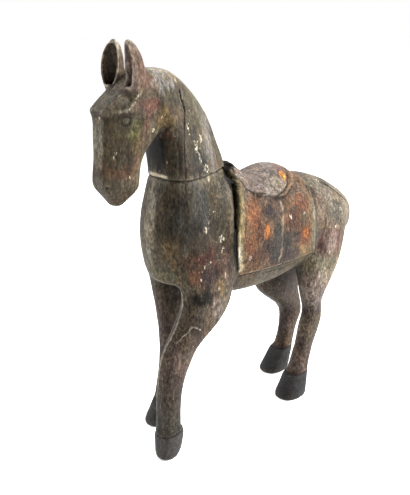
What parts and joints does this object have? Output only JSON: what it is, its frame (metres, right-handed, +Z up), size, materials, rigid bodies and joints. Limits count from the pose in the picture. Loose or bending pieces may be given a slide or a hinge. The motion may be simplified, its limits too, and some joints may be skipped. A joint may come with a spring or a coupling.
{
  "type": "carved horse figure",
  "caption": "Carved wooden horse standing on its own hooves, with a saddle and saddle cloth carved on its back, as a decorative figure.",
  "frame": {"origin": "middle of the figure's overall length and width, at floor level", "axes": "+Z up, the horse faces -Y, its left side is +X"},
  "size_m": [0.1441, 0.533, 0.5997],
  "materials": {
    "body_wood": "dark weathered wood with remains of old paint",
    "neck_wood": "dark weathered wood with remains of old paint"
  },
  "bodies": {
    "root": {"body": "body_wood", "head_neck": "neck_wood"}
  },
  "joints": []
}
